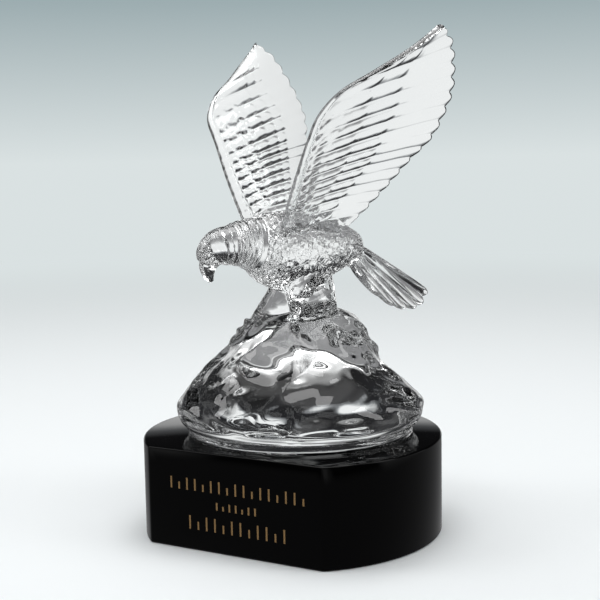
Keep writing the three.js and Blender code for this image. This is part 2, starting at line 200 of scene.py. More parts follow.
RIGHT_LEG = [
    [-0.6, -3.6, 24, 9, 6],
    [-0.8, -5.4, 15, 7.8, 6.8],
    [2, -7.6, 8, 8.6, 7],
    [5, -8.2, 2, 10, 6.4],
    [6.4, -8.4, -5, 10, 6],
]
TOES = [
    [[5, 7.4, 10.5], [8.6, 9.2, 7.6], [10.2, 11, 4.2], [9.8, 12.2, -2]],
    [[7, 5.6, 5], [8.8, 5.8, 2.4], [11.4, 4.8, 1], [14, 4, -3]],
    [[0, 11, 4], [1.8, 14, 2.4], [2.8, 16.4, 0], [3.2, 18.4, -4.6]],
    [[10, -6.6, 5.6], [13, -7.8, 4], [16.4, -9.2, 1.2], [19.6, -10.4, -3.6]],
    [[9, -5, 5], [12.4, -4, 3.4], [15, -3, 1.4], [17.6, -2, -3]],
    [[5, -10, 4], [7.6, -13, 2.4], [9.6, -15.4, -0.4], [11, -17.6, -5.4]],
]
TOE_KNUCKLES = 4
KNUCKLE_HEIGHT = 0.6
TOE_RADIUS = 1.6
CLAW_RADIUS = 0.5
# Eyes and brows: forward, up, left, radius, half length and fall
EYE = (36, 26.9, 3.4, 0.9, 0.9, 0)
BROW = (35.2, 28.1, 3.1, 0.8, 2.3, 0.56)
# Step along a run over which its direction is taken
NEAR = 0.05

# How many times each skin is divided, round it and along it
ROCK_MESH = (192, 112)
TORSO_MESH = (132, 176)
BEAK_MESH = (40, 42)
EGG_MESH = (20, 16)
WING_MESH = (128, 9 * FEATHERS + 2)
TAIL_MESH = (56, 8 * TAIL_FEATHERS + 2)
LEG_MESH = (48, 44)
TOE_MESH = (18, 42)

# Stage: colours of the backdrop, of the painted dark ring that the floor glows with near the award for every
# ray but the camera's, and of the dark flags, with distances in metres
HORIZON = (0.7, 0.755, 0.76, 1)
WHITE = (0.92, 0.93, 0.93, 1)
# Painted shade: a dark glow on the floor near the award, seen only by light that the glass bends or reflects,
# never by the camera
PAINTED_DARK_RING = (0.26, 0.26, 0.265, 1)
FLAG = (0.03, 0.03, 0.032, 1)
BACKDROPS = 4
BACKDROP_TURN = math.radians(90 + 29.7)
FLOOR_RADIUS = 14
FLOOR_FADE = (0.2, 1.6)
# Distances over which the painted dark ring passes into the painted backdrops and flags on the floor
PAINTED_DARK_RING_EDGE = (0.45, 1.0)
FLAGS_BELOW = 0.2
SKY_LOW = (0.33, 0.41, 0.43, 1)
SKY_HIGH = (0.16, 0.21, 0.22, 1)
# Stops from straight down at 0 through the horizon at 0.5 to straight up at 1
BACKDROP_STOPS = [(0.0, HORIZON), (0.5, HORIZON), (0.565, SKY_LOW), (0.7, SKY_HIGH), (1.0, SKY_HIGH)]
ROOM_STOPS = [
    (0.0, WHITE),
    (0.56, WHITE),
    (0.585, (0.25, 0.26, 0.27, 1)),
    (0.61, (0.02, 0.02, 0.022, 1)),
    (0.82, (0.015, 0.015, 0.015, 1)),
    (0.88, (0.3, 0.3, 0.3, 1)),
    (0.93, (1, 1, 1, 1)),
    (1.0, (1, 1, 1, 1)),
]
SOFTBOX_TARGET = (0, 0, 0.1)
SOFTBOXES = [
    {"name": "overhead_softbox", "place": (-0.1, 0.1, 1.5), "size": (1.2, 1.2), "power": 16},
    {"name": "left_softbox", "place": (-1.1, -0.7, 0.9), "size": (0.5, 0.9), "power": 5},
    {"name": "right_softbox", "place": (1.2, 0.3, 0.8), "size": (0.4, 0.9), "power": 4},
]

# Camera, in millimetres and degrees
CAMERA_PLACE = (275.56, -491.16, 172.72)
CAMERA_TARGET = (0, -8.05, 107.4)
CAMERA_ROLL = -1.04
CAMERA_LENS = 71.92
CAMERA_SENSOR = 36
CAMERA_SHIFT = 9.87 / 600


class AwardSettings(bpy.types.PropertyGroup):
    """Sizes and colours of the award and its stage."""

    eagle_height: bpy.props.FloatProperty(
        name="Eagle height",
        description="Height of the eagle from its perch to its wing tips",
        default=0.14,
        min=0.05,
        unit="LENGTH",
    )
    perch_height: bpy.props.FloatProperty(
        name="Perch height",
        description="Height of the eagle's feet above the desk",
        default=0.092,
        unit="LENGTH",
    )
    plinth_radius: bpy.props.FloatProperty(
        name="Plinth radius",
        description="Radius of the plinth's round back",
        default=0.07,
        unit="LENGTH",
    )
    plinth_height: bpy.props.FloatProperty(
        name="Plinth height",
        description="Height of the plinth",
        default=PLINTH_HIGH[2] - PLINTH_LOW[2],
        unit="LENGTH",
    )
    plinth_bevel: bpy.props.FloatProperty(
        name="Plinth bevel",
        description="Width of the polished bevel on the plinth's edges",
        default=0.0008,
        unit="LENGTH",
    )
    glass_colour: bpy.props.FloatVectorProperty(
        name="Crystal",
        description="Tint of the clear glass",
        subtype="COLOR",
        size=4,
        default=(0.97, 0.985, 0.985, 1),
    )
    black_colour: bpy.props.FloatVectorProperty(
        name="Black glass",
        description="Colour of the plinth",
        subtype="COLOR",
        size=4,
        default=(0.0012, 0.0012, 0.0013, 1),
    )
    gold_colour: bpy.props.FloatVectorProperty(
        name="Gold",
        description="Colour of the engraving's fill",
        subtype="COLOR",
        size=4,
        default=(0.5, 0.31, 0.13, 1),
    )
    floor_colour: bpy.props.FloatVectorProperty(
        name="Floor", description="Colour of the floor", subtype="COLOR", size=4, default=(0.8, 0.83, 0.84, 1)
    )


class Wire:
    """A node's output, on which Python's operators add Math nodes."""

    def __init__(self, tree, socket):
        self.tree = tree
        self.socket = socket

    def maths(self, operation, first, second):
        return self.tree.add("ShaderNodeMath", {"operation": operation}, {0: first, 1: second})

    def __add__(self, other):
        return self.maths("ADD", self, other)

    __radd__ = __add__

    def __sub__(self, other):
        return self.maths("SUBTRACT", self, other)

    def __rsub__(self, other):
        return self.maths("SUBTRACT", other, self)

    def __mul__(self, other):
        return self.maths("MULTIPLY", self, other)

    __rmul__ = __mul__


class Tree:
    """A node tree that starts empty, with one method that adds a node of any type."""

    def __init__(self, owner):
        owner.use_nodes = True
        self.nodes = owner.node_tree.nodes
        self.links = owner.node_tree.links
        self.nodes.clear()

    def add(self, kind, settings=None, sockets=None, output=0):
        node = self.nodes.new(kind)
        for name, value in (settings or {}).items():
            if name == "stops":
                stops = node.color_ramp.elements
                while len(stops) < len(value):
                    stops.new(1.0)
                for stop, (position, colour) in zip(stops, value):
                    stop.position = position
                    stop.color = colour
            else:
                setattr(node, name, value)
        for name, value in (sockets or {}).items():
            if isinstance(value, Wire):
                self.links.new(value.socket, node.inputs[name])
            else:
                node.inputs[name].default_value = value
        return Wire(self, node.outputs[output]) if node.outputs else node

    def place(self):
        return self.add("ShaderNodeTexCoord", output="Object")

    def noise(self, scale, detail):
        return self.add("ShaderNodeTexNoise", {}, {"Vector": self.place(), "Scale": scale, "Detail": detail})


def principled(name, values, make=None):
    """A material of one Principled shader: plain values, and links that make(tree) returns."""
    material = bpy.data.materials.new(name)
    tree = Tree(material)
    links = make(tree) if make else {}
    shader = tree.add("ShaderNodeBsdfPrincipled", {}, {**values, **links})
    tree.add("ShaderNodeOutputMaterial", {}, {"Surface": shader})
    return material


def crystal_material(settings):
    def make(tree):
        ripple = tree.noise(60, 0.5)
        cells = tree.add(
            "ShaderNodeTexVoronoi",
            {"feature": "F1"},
            {"Vector": tree.place(), "Scale": SCALES_PER_METRE},
            "Distance",
        )
        plumage = tree.add("ShaderNodeAttribute", {"attribute_name": "plumage"}, output="Fac")
        height = ripple * 0.15 + plumage * (1 - cells)
        bump = tree.add("ShaderNodeBump", {}, {"Strength": 1.0, "Distance": PEBBLE_DEPTH, "Height": height})
        return {"Normal": bump}

    values = {
        "Base Color": tuple(settings.glass_colour),
        "Roughness": 0.0,
        "IOR": 1.52,
        "Transmission Weight": 1.0,
    }
    return principled("clear_crystal_glass", values, make)


def black_glass_material(settings):
    def make(tree):
        smears = tree.noise(38, 3.0)
        return {"Roughness": 0.015 + smears * 0.05}

    values = {"Base Color": tuple(settings.black_colour), "IOR": 1.5, "Specular IOR Level": 0.1}
    return principled("polished_black_glass", values, make)


def gold_material(settings):
    def make(tree):
        grain = tree.noise(900, 3.0)
        shade = tree.add(
            "ShaderNodeMix",
            {"data_type": "RGBA"},
            {
                "Factor": grain,
                6: tuple(channel * 0.75 for channel in settings.gold_colour[:3]) + (1,),
                7: tuple(min(channel * 1.25, 1) for channel in settings.gold_colour[:3]) + (1,),
            },
            2,
        )
        bump = tree.add("ShaderNodeBump", {}, {"Strength": 0.3, "Distance": 0.0001, "Height": grain})
        return {"Base Color": shade, "Roughness": 0.35 + grain * 0.3, "Normal": bump}

    return principled("gold_fill", {"Metallic": 0.35}, make)


def lerp(start, end, share):
    return start + (end - start) * share


def clamp(value, low=0.0, high=1.0):
    return min(max(value, low), high)


def smooth(value, start, end):
    share = clamp((value - start) / (end - start))
    return share * share * (3 - 2 * share)


def between(value, rise, fade):
    return smooth(value, *rise) * (1 - smooth(value, *fade))


def run(rows):
    """A smooth run through rows of numbers, which gives a row for each share from 0 to 1."""

    def at(share):
        spot = clamp(share) * (len(rows) - 1)
        index = min(int(spot), len(rows) - 2)
        t = spot - index
        near = [rows[clamp(index + step, 0, len(rows) - 1)] for step in (-1, 0, 1, 2)]
        return [
            b + ((c - a) * t + (2 * a - 5 * b + 4 * c - d) * t * t + (3 * b - 3 * c + d - a) * t**3) / 2
            for a, b, c, d in zip(*near)
        ]

    return at


def even_run(rows):
    """A smooth curve through points, which gives a point for each share of its length."""
    points = [Vector(row) for row in rows]
    points = [2 * points[0] - points[1], *points, 2 * points[-1] - points[-2]]
    steps = 24
    samples = []
    for a, b, c, d in zip(points, points[1:], points[2:], points[3:]):
        before, middle, after = [math.sqrt((end - start).length) for start, end in ((a, b), (b, c), (c, d))]
        leave = ((b - a) / before - (c - a) / (before + middle) + (c - b) / middle) * middle
        arrive = ((c - b) / middle - (d - b) / (middle + after) + (d - c) / after) * middle
        for step in range(steps):
            t = step / steps
            samples.append(
                b * (2 * t**3 - 3 * t**2 + 1)
                + leave * (t**3 - 2 * t**2 + t)
                + c * (3 * t**2 - 2 * t**3)
                + arrive * (t**3 - t**2)
            )
    samples.append(points[-2])
    lengths = list(itertools.accumulate((q - p).length for p, q in zip(samples, samples[1:])))
    lengths.insert(0, 0)

    def at(share):
        spot = clamp(share) * lengths[-1]
        index = min(bisect.bisect_right(lengths, spot), len(lengths) - 1)
        start, end = lengths[index - 1], lengths[index]
        return samples[index - 1].lerp(samples[index], (spot - start) / (end - start))

    return at


def tiles(along, down, length=1.3):
    """Height from 0 to 1 of round-ended scales laid like roof tiles, free ends toward larger values of down."""
    row = math.floor(down)
    for upper in (row - 1, row):
        offset = 0.5 * (upper % 2)
        side = (along + offset) % 1 - 0.5
        reach = length * math.sqrt(max(1 - (1.85 * side) ** 2, 0)) if abs(side) < 0.5 else 0
        depth = down - upper
        if depth < reach:
            rim = smooth(reach - depth, 0, 0.22)
            return rim * (0.55 + 0.45 * depth / length)
    return 0.0


def skin(sides, rings, place):
    """A closed skin: a sphere whose every point is placed by its share along, its angle and its reach,
    which is 1 on the wall and 0 in the middle of an end."""
    shape = bmesh.new()
    bmesh.ops.create_uvsphere(shape, u_segments=sides, v_segments=rings, radius=1)
    for vertex in shape.verts:
        ring = round(math.acos(clamp(vertex.co.z, -1, 1)) / math.pi * rings)
        if ring in (0, rings):
            vertex.co = place(ring / rings, 0, 0)
        else:
            vertex.co = place((ring - 1) / (rings - 2), math.atan2(vertex.co.y, vertex.co.x), 1)
    if shape.calc_volume(signed=True) < 0:
        bmesh.ops.reverse_faces(shape, faces=shape.faces)
    return shape


class Eagle:
    """The eagle's limbs as closed skins, in metres."""

    def __init__(self, settings):
        self.unit = settings.eagle_height / 100
        self.perch = settings.perch_height

    def point(self, forward, left, up):
        """The place in metres of a forward, left and up in hundredths of the eagle's height."""
        return Vector(
            (
                self.unit * (-math.sin(HEADING) * forward + math.cos(HEADING) * left),
                self.unit * (-math.cos(HEADING) * forward - math.sin(HEADING) * left),
                self.unit * up + self.perch,
            )
        )

    def within(self, spot):
        """The forward, left and up of a place in metres."""
        forward = -math.sin(HEADING) * spot.x - math.cos(HEADING) * spot.y
        left = math.cos(HEADING) * spot.x - math.sin(HEADING) * spot.y
        return forward / self.unit, left / self.unit, (spot.z - self.perch) / self.unit

    def spine_limb(self, rows, divisions, relief):
        """A limb lofted along the eagle's middle through rows of forward, up, half height and half width."""
        at = run(rows)
        step = 0.01

        def place(share, angle, reach):
            forward, up, half_height, half_width = at(share)
            before, after = at(share - step), at(share + step)
            along = Vector((after[0] - before[0], after[1] - before[1])).normalized()
            extra = relief(share, angle) if reach else 0
            rise = reach * (half_height + extra) * math.cos(angle)
            left = reach * (half_width + extra) * math.sin(angle)
            return self.point(forward - rise * along.y, left, up + rise * along.x)

        return skin(*divisions, place)

    def torso(self):
        """The body, neck and head, with scales on the body and wavy folds round the neck."""

        def relief(share, angle):
            on_body = between(share, (0, 0.03), (SCALES_END - 0.05, SCALES_END))
            on_neck = between(share, (SCALES_END, SCALES_END + 0.04), (NECK_END - 0.05, NECK_END))
            down = SCALE_ROWS * (1 - share / SCALES_END) ** 0.9 if share < SCALES_END else 0
            scales = tiles(SCALES_ROUND * angle / FULL_TURN, down)
            wander = 0.35 * math.sin(3 * angle + 1) + 0.2 * math.sin(5 * angle)
            folds = math.cos(FULL_TURN * NECK_FOLDS * (share - SCALES_END) / (NECK_END - SCALES_END) + wander)
            return on_body * SCALE_DEPTH * scales + on_neck * FOLD_DEPTH * folds

        return self.spine_limb(TORSO, TORSO_MESH, relief)

    def beak(self):
        """The hooked beak, with the line at its base and the line of the mouth."""

        def relief(share, angle):
            base_line = -0.25 * math.exp(-(((share - 0.22) / 0.035) ** 2))
            mouth = -0.3 * math.exp(-(((abs(angle) - 2.2) / 0.14) ** 2))
            return base_line + mouth * between(share, (0.1, 0.2), (0.7, 0.85))

        return self.spine_limb(BEAK, BEAK_MESH, relief)

    def egg(self, side, forward, up, left, radius, length, fall):
        """An eye or a brow on one side of the head, its long way forward and falling toward the beak."""

        def place(share, angle, reach):
            turn = math.pi * share
            radial = math.sin(turn) if reach else 0
            return self.point(
                forward + length * math.cos(turn),
                side * left + radius * radial * math.cos(angle),
                up + radius * radial * math.sin(angle) - fall * math.cos(turn),
            )

        return skin(*EGG_MESH, place)

    def wing(self, side):
        """The left wing, where side is 1, or the right one: a blade lofted from its root to its tip."""
        leading = even_run(LEADING_EDGE)
        trailing = even_run(TRAILING_EDGE)
        chord_share = run(CHORD_SPACING)
        quarter_feather = 0.25 / FEATHERS

        def place(u, angle, reach):
            root = FAN * u + (1 - FAN) * u**FAN_POWER
            front, back = leading(root), trailing(u)
            chord = back - front
            span = trailing(u + quarter_feather) - trailing(u - quarter_feather)
            square = chord.cross(span).normalized()
            width = chord.length
            across = chord_share(abs(angle) / math.pi)[0] if reach else 0.5
            outer = angle > 0
            number = FEATHERS * u
            d = number % 1 - 0.5
            feather = abs(math.cos(math.pi * d))
            inward = across * width
            taper = 1 - 0.5 * smooth(u, 0.45, 1)
            bar_width = BAR_WIDTH * (1 - 0.55 * u)
            bar = BAR_HALF * (1 - smooth(inward, 0.8 * bar_width, 1.2 * bar_width)) * (1 - 0.45 * u)
            blade = BLADE_HALF * (1 - 0.5 * across)
            on_arm = 1 - smooth(u, 0.72, 0.86)
            edge = smooth(1 - across, 0, 0.05)
            wobble = 0.012 * math.sin(7.3 * math.floor(number) + 1)
            rounded_end = COVERT_ROUNDING * (1 - (2 * d) ** 2)
            relief = 0.0
            if outer:
                ends = OUTER_COVERTS
                for place_in, bar_widths in enumerate(BEAD_ROWS):
                    bead = math.cos(math.pi * (ARM_BEADS * root + 0.5 * place_in)) ** 2
                    row = math.exp(-(((inward - bar_widths * bar_width) / BEAD_REACH) ** 2))
                    relief += BEAD_DEPTH * bead * row * on_arm * smooth(u, 0, 0.03)
                flutes_from = (0.14, 0.3)
            else:
                ends = INNER_COVERTS
                down = (inward - 1.1 * bar_width) / ARM_SCALE_LENGTH
                on_scales = on_arm * smooth(down, 0, 0.3) * (1 - smooth(across, 0.28, 0.34))
                relief += ARM_SCALE_DEPTH * tiles(ARM_SCALES * root, down) * on_scales
                flutes_from = (0.3, 0.4)
            fade_tip = 1 - smooth(u, 0.9, 1)
            for end in ends:
                stop = end + wobble + rounded_end
                step = 1 - smooth(across, stop - 0.004, stop + 0.014)
                relief += COVERT_DEPTH * step * (0.55 + 0.45 * feather) * fade_tip
            fade = smooth(across, *flutes_from) * between(u, (0.02, 0.08), (0.72, 1.05))
            groove = math.exp(-(((0.5 - abs(d)) / GROOVE_WIDTH) ** 2))
            deep = 0.07 + 0.03 * math.sin(2.4 * math.floor(number + 0.5))
            relief += fade * (FEATHER_DEPTH * feather - deep * groove)
            if outer != (side > 0):
                relief *= HIDDEN_FACE
            half = reach * (bar + blade * taper + relief * taper * edge)
            lift = half * (abs(math.sin(angle)) ** 0.5) * (1 if outer else -1)
            camber = WING_CAMBER * 4 * across * (1 - across) * between(u, (0, 0.3), (0.6, 1))
            tip = TIP_REACH * (feather - 0.5) * smooth(across, 0.75, 1) * between(u, (0.1, 0.2), (0.96, 1))
            spot = front.lerp(back, across) + chord.normalized() * tip + square * (lift - camber)
            raise_by = RIGHT_WING_RAISE if side < 0 else 1
            return self.point(spot.x, side * spot.y, WING_ROOT + raise_by * (spot.z - WING_ROOT))

        return skin(*WING_MESH, place)

    def tail(self):
        """The tail as a fan lofted across its feathers, from the left edge to the right one."""
        roots, left_tips, right_tips = run(TAIL_ROOTS), run(LEFT_TAIL_TIPS), run(RIGHT_TAIL_TIPS)

        def middle(w, share):
            forward, left, up = roots(abs(w))
            tip = (right_tips if w < 0 else left_tips)(abs(w))
            return Vector((forward, math.copysign(left, w), up)).lerp(Vector(tip), share)

        def place(turn, angle, reach):
            w = lerp(1, -1, turn)
            share = (1 - math.cos(angle)) / 2 if reach else 0.5
            ahead = middle(w, share + NEAR) - middle(w, share - NEAR)
            beside = middle(w + NEAR, share) - middle(w - NEAR, share)
            square = ahead.cross(beside).normalized()
            rib = abs(math.sin(math.pi * TAIL_FEATHERS * turn))
            thick = lerp(1.4, 0.8, share) + 0.5 * (rib - 0.3) * smooth(share, 0.15, 0.35)
            lift = thick * math.copysign(math.sqrt(abs(math.sin(angle))), math.sin(angle))
            spot = middle(w, share + 0.04 * (rib - 0.5) * smooth(share, 0.8, 1)) + square * reach * lift
            return self.point(*spot)

        return skin(*TAIL_MESH, place)

    def leg(self, rows):
        """A leg through rows of forward, left, up, half length and half width."""
        at = run(rows)

        def place(share, angle, reach):
            forward, left, up, half_length, half_width = at(share)
            ahead = reach * half_length * math.cos(angle)
            return self.point(forward + ahead, left + reach * half_width * math.sin(angle), up)

        return skin(*LEG_MESH, place)

    def toe(self, points):
        """A knuckled toe through points, thinner toward its claw."""
        at = run(points)

        def place(share, angle, reach):
            along = (Vector(at(share + NEAR)) - Vector(at(share - NEAR))).normalized()
            beside = along.cross(Vector((0, 0, 1))).normalized()
            above = beside.cross(along)
            knuckle = KNUCKLE_HEIGHT * math.cos(FULL_TURN * TOE_KNUCKLES * share)
            knuckle *= 1 - smooth(share, 0.75, 0.85)
            radius = reach * (lerp(TOE_RADIUS, CLAW_RADIUS, smooth(share, 0.6, 1)) + knuckle)
            spot = Vector(at(share)) + beside * radius * math.cos(angle) + above * radius * math.sin(angle)
            return self.point(*spot)

        return skin(*TOE_MESH, place)


def rock_relief(height, angle):
    """How far the rock stands out from its profile, in millimetres."""
    band = math.sin(5.2 * height + 0.9 + math.sin(2 * angle))
    swell = ROCK_SWELL * band * math.sin(3 * angle + 4.2 * height + 0.6)
    crossing = math.sin(5 * angle - 6.5 * height + 2.1)
    crease = abs(math.sin(4.5 * angle + 2.4 * height + 1.3 * math.sin(angle + 7 * height)))
    fold = ROCK_FOLD * (1 - 2 * crease) * smooth(height, 0.2, 0.5)
    toward = max(0, math.cos(angle - ROCK_TOWARD))
    hollow = ROCK_HOLLOW * math.exp(-(((height - 0.48) / 0.15) ** 2))
    knob = ROCK_KNOB * between(height, (0.72, 0.9), (0.95, 1))
    lobes = ROCK_LOBES * math.sin(7 * angle + 9 * height + 2 * math.sin(3 * angle))
    lobes *= math.sin(11 * height + 2 * angle)
    dents = ROCK_DENTS * math.sin(13 * angle + 3 * math.sin(9 * height)) * math.sin(17 * height - 4 * angle)
    seam = SEAM_HEIGHT * sum(
        math.exp(-((math.remainder(angle - spot, FULL_TURN) / 0.012) ** 2))
        for spot in (MOULD_SEAM, MOULD_SEAM + math.pi)
    )
    marks = -MARK_DEPTH * math.exp(-(((height - 0.1) / 0.022) ** 2))
    marks *= smooth(math.sin(9 * angle + 1), 0.1, 0.8)
    on_rock = between(height, (0.03, 0.2), (0.78, 0.98))
    return on_rock * (swell + crossing + fold + lobes + dents) + seam + marks + toward * (knob - hollow)


def rock(floor):
    """The rock and its foot ring as one closed skin."""
    at = run(ROCK_PROFILE)

    def place(share, angle, reach):
        if share > 1 - RING_SHARE:
            down = (share - 1 + RING_SHARE) / RING_SHARE
            corner = smooth(down, 0.75, 1)
            radius = lerp(RING_RADIUS, RING_RADIUS - 1, down) - 0.8 * corner * corner
            groove = RING_GROOVE * math.exp(-(((down - 0.02) / 0.12) ** 2))
            return Vector(
                (
                    MM * reach * (radius - groove) * math.cos(angle),
                    MM * reach * (radius - groove) * math.sin(angle),
                    floor + MM * RING_HEIGHT * (1 - min(down * 1.02, 1)),
                )
            )
        up = 1 - share / (1 - RING_SHARE)
        radius, height = at(up)
        out = MM * reach * max(ROCK_RADIUS * radius + rock_relief(height, angle), 1)
        toward = max(0, math.cos(angle - ROCK_TOWARD))
        raised = height + reach * 0.07 * toward * smooth(height, 0.72, 1)
        return Vector(
            (out * math.cos(angle), out * math.sin(angle), floor + MM * (RING_HEIGHT + ROCK_HEIGHT * raised))
        )

    return skin(*ROCK_MESH, place)


def new_piece(name, shape, material):
    """A mesh object from a bmesh, riding on the award and finished from one of its material slots."""
    mesh = bpy.data.meshes.new(name)
    shape.to_mesh(mesh)
    shape.free()
    piece = bpy.data.objects.new(name, mesh)
    bpy.context.scene.collection.objects.link(piece)
    mesh.materials.append(material)
    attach(piece, "root")
    return piece


def evaluated_mesh(piece):
    return bpy.data.meshes.new_from_object(piece.evaluated_get(bpy.context.evaluated_depsgraph_get()))


def soften_joins(shape, rings):
    """Rounds the places where two limbs meet, where the faces on the two sides differ in material number."""
    near = {
        vertex
        for edge in shape.edges
        if len({face.material_index for face in edge.link_faces}) > 1
        for vertex in edge.verts
    }
    belts = [near]
    for _ in range(rings):
        near = near | {edge.other_vert(vertex) for vertex in near for edge in vertex.link_edges}
        belts.append(near)
    for belt in reversed(belts):
        for _ in range(3):
            bmesh.ops.smooth_vert(
                shape, verts=list(belt), factor=0.5, use_axis_x=True, use_axis_y=True, use_axis_z=True
            )


def joined(shapes, material):
    """One closed shape from overlapping skins, its joins softened."""
    limbs = []
    for number, shape in enumerate(shapes):
        for face in shape.faces:
            face.material_index = number
        mesh = bpy.data.meshes.new("limb")
        shape.to_mesh(mesh)
        shape.free()
        limb = bpy.data.objects.new("limb", mesh)
        bpy.context.scene.collection.objects.link(limb)
        for _ in shapes:
            mesh.materials.append(material)
        limbs.append(limb)
    whole = limbs[0]
    for limb in limbs[1:]:
        union = whole.modifiers.new("union", "BOOLEAN")
        union.operation = "UNION"
        union.solver = "MANIFOLD"
        union.material_mode = "INDEX"
        union.object = limb
    made = evaluated_mesh(whole)
    shape = bmesh.new()
    shape.from_mesh(made)
    bmesh.ops.remove_doubles(shape, verts=shape.verts, dist=0.04 * MM)
    soften_joins(shape, 3)
    for face in shape.faces:
        face.material_index = 0
        face.smooth = True
    bpy.data.meshes.remove(made)
    for limb in limbs:
        mesh = limb.data
        bpy.data.objects.remove(limb)
        bpy.data.meshes.remove(mesh)
    return shape


def mark_plumage(shape, eagle):
    """Gives each point its share of the pebbled scales: most on the body and thighs, a little on the head."""
    layer = shape.verts.layers.float.new("plumage")
    for vertex in shape.verts:
        forward, left, up = eagle.within(vertex.co)
        body = 0.5 * between(forward, (-26, -22), (11, 16)) * between(up, (5, 9), (39, 43))
        head = 0.2 * between(forward, (24, 30), (37, 39))
        vertex[layer] = (body + head) * (1 - smooth(abs(left), 11, 14))


class AWARD_OT_crystal_eagle(bpy.types.Operator):
    """Makes the clear glass eagle with its rock and foot ring, in one casting"""

    bl_idname = "award.crystal_eagle"
    bl_label = "Crystal Eagle"

    def execute(self, context):
        settings = context.scene.award
        eagle = Eagle(settings)
        material = crystal_material(settings)
        shapes = [
            rock(CRYSTAL_LOW[2]),
            eagle.torso(),
            eagle.beak(),
            eagle.tail(),
            eagle.wing(1),
            eagle.wing(-1),
            eagle.leg(LEFT_LEG),
            eagle.leg(RIGHT_LEG),
            *[eagle.toe(points) for points in TOES],
            *[eagle.egg(side, *EYE) for side in (1, -1)],
            *[eagle.egg(side, *BROW) for side in (1, -1)],
        ]
        shape = joined(shapes, material)
        if not shape.faces:
            raise RuntimeError("the eagle's limbs did not join")
        mark_plumage(shape, eagle)
        piece = new_piece("crystal_eagle_casting", shape, material)
        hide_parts("crystal_eagle")
        return {"FINISHED"}


def plinth_block(settings):
    """The plinth's block: an arc spun from one corner of the flat to the other, raised and bevelled."""
    radius = settings.plinth_radius
    front = PLINTH_LOW[1]
    centre = Vector((0, PLINTH_HIGH[1] - radius, 0))
    half_flat = math.sqrt(radius**2 - (centre.y - front) ** 2)
    corner = math.atan2(front - centre.y, half_flat)
    shape = bmesh.new()
    start = shape.verts.new((half_flat, front, PLINTH_LOW[2]))
    bmesh.ops.spin(
        shape,
        geom=[start],
        cent=centre,
        axis=(0, 0, 1),
        angle=math.pi - 2 * corner,
        steps=144,
        use_duplicate=False,
    )
    ends = [vertex for vertex in shape.verts if len(vertex.link_edges) == 1]
    shape.edges.new(ends)
    bmesh.ops.contextual_create(shape, geom=shape.edges)
    raised = bmesh.ops.extrude_face_region(shape, geom=shape.faces)
    top = [item for item in raised["geom"] if isinstance(item, bmesh.types.BMVert)]
    bmesh.ops.translate(shape, verts=top, vec=(0, 0, settings.plinth_height))
    bmesh.ops.recalc_face_normals(shape, faces=shape.faces)
    sharp = [edge for edge in shape.edges if edge.calc_face_angle(0) > math.radians(30)]
    bmesh.ops.bevel(
        shape,
        geom=sharp,
        offset=settings.plinth_bevel,
        offset_type="OFFSET",
        affect="EDGES",
        segments=3,
        profile=0.5,
        material=-1,
    )
    return shape


def stroke_boxes(width, deep, shy):
    """The engraved strokes as boxes, each smaller by shy on every side."""
    shape = bmesh.new()
    for row in ROWS:
        for number in range(row["strokes"]):
            tall = row["tall"] * (SHORT_STROKE if number % SHORT_EVERY == 1 else 1)
            across = ROW_CENTRE + row["width"] * ((number + 0.5) / row["strokes"] - 0.5)
            low = row["height"] - row["tall"] / 2
            size = Matrix.Diagonal((MM * (width - 2 * shy), MM * 2 * deep, MM * (tall - 2 * shy), 1))
            place = Matrix.Translation((MM * across, PLINTH_LOW[1], MM * (low + tall / 2)))
            bmesh.ops.create_cube(shape, size=1, matrix=place @ size)
    return shape


class AWARD_OT_black_plinth(bpy.types.Operator):
    """Makes the black glass plinth with its polished bevel and engraved strokes"""

    bl_idname = "award.black_plinth"
    bl_label = "Black Plinth"

    def execute(self, context):
        settings = context.scene.award
        material = black_glass_material(settings)
        piece = new_piece("black_plinth_block", plinth_block(settings), material)
        cutter_mesh = bpy.data.meshes.new("strokes")
        strokes = stroke_boxes(STROKE_WIDTH, STROKE_DEPTH, 0)
        strokes.to_mesh(cutter_mesh)
        strokes.free()
        cutter = bpy.data.objects.new("strokes", cutter_mesh)
        context.scene.collection.objects.link(cutter)
        cut = piece.modifiers.new("engraving", "BOOLEAN")
        cut.operation = "DIFFERENCE"
        cut.solver = "MANIFOLD"
        cut.object = cutter
        carved = evaluated_mesh(piece)
        piece.modifiers.clear()
        piece.data = carved
        carved.shade_smooth()
        carved.set_sharp_from_angle(angle=math.radians(35))
        bpy.data.objects.remove(cutter)
        if not carved.polygons:
            raise RuntimeError("the plinth could not be engraved")
        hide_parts("black_glass_plinth")
        return {"FINISHED"}


class AWARD_OT_gold_engraving(bpy.types.Operator):
    """Fills the engraved strokes with gold"""

    bl_idname = "award.gold_engraving"
    bl_label = "Gold Engraving"

    def execute(self, context):
        shape = stroke_boxes(STROKE_WIDTH, STROKE_DEPTH, 0.01)
        front = PLINTH_LOW[1] + 0.05 * MM
        bmesh.ops.bisect_plane(
            shape,
            geom=[*shape.verts, *shape.edges, *shape.faces],
            plane_co=(0, front, 0),
            plane_no=(0, -1, 0),
            clear_outer=True,
        )
        bmesh.ops.holes_fill(shape, edges=shape.edges)
        bmesh.ops.translate(shape, verts=shape.verts, vec=(0, -0.02 * MM, 0))
        new_piece("gold_engraving_fill", shape, gold_material(context.scene.award))
        return {"FINISHED"}


def flags(tree, place):
    """1 toward the backdrops that stand round the award and 0 toward the dark flags between them, both in the
    world's light and in the painted glow on the floor.
    """
    parts = [tree.add("ShaderNodeSeparateXYZ", {}, {0: place}, axis) for axis in ("Y", "X")]
    turn = tree.add("ShaderNodeMath", {"operation": "ARCTAN2"}, {0: parts[0], 1: parts[1]})
    wave = tree.add("ShaderNodeMath", {"operation": "COSINE"}, {0: (turn - BACKDROP_TURN) * BACKDROPS})
    return tree.add("ShaderNodeMapRange", {}, {"Value": wave, "From Min": -0.4, "From Max": 0.1})


